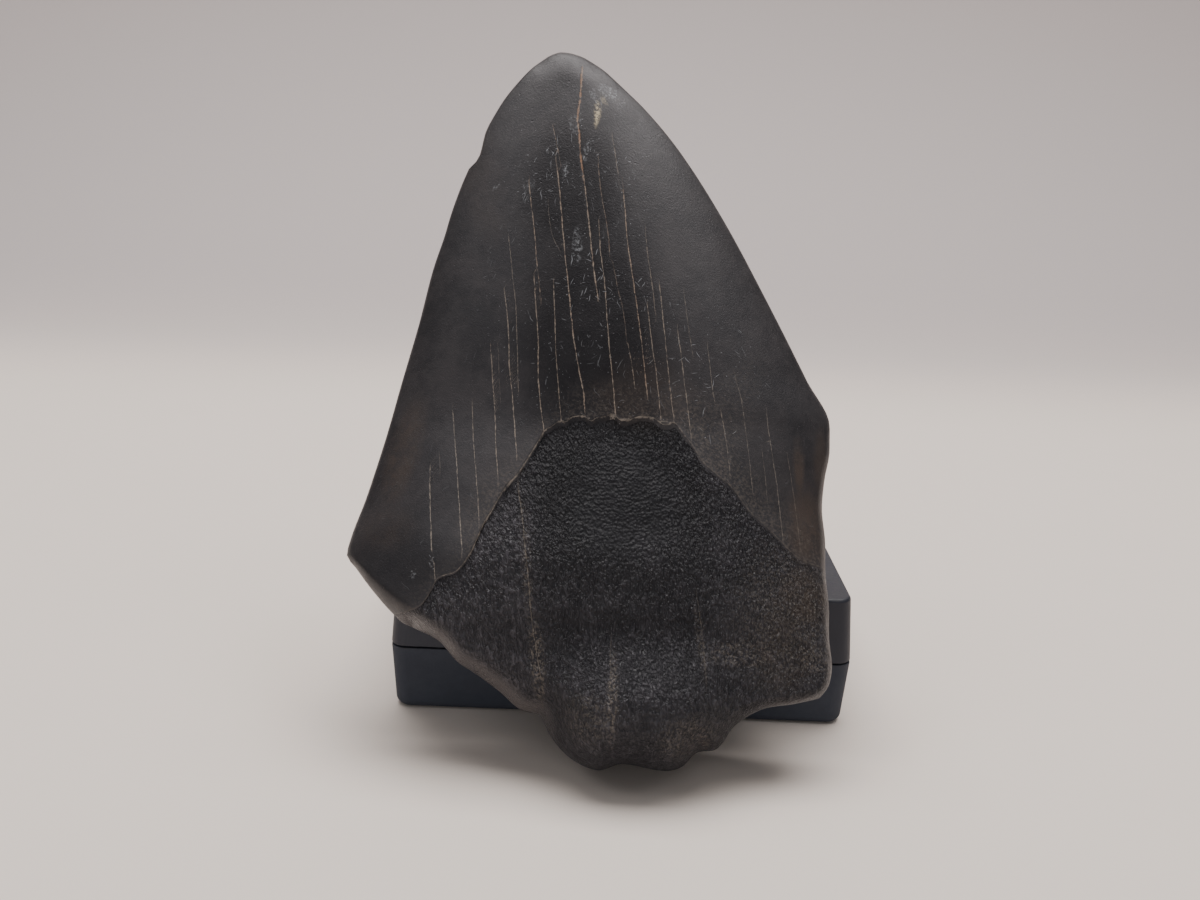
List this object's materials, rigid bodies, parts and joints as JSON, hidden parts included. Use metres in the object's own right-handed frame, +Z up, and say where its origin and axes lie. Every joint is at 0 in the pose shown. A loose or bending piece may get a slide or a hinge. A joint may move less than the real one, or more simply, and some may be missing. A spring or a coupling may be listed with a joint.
{
  "type": "fossil shark tooth on box stand",
  "caption": "Large fossil shark tooth standing on its root and leaning back on a closed two-part plastic box that serves as its stand.",
  "frame": {"origin": "middle of the underside of the stand's box, at the level of the surface it stands on", "axes": "+Z up, +Y from the tooth towards the back of the box, +X to the right of someone facing the tooth's root and cracked crown"},
  "size_m": [0.0929, 0.0952, 0.1207],
  "materials": {
    "fossil": "satin",
    "box_plastic": "matte"
  },
  "bodies": {
    "root": {"tooth": "fossil", "box_base": "box_plastic", "box_lid": "box_plastic"}
  },
  "joints": []
}
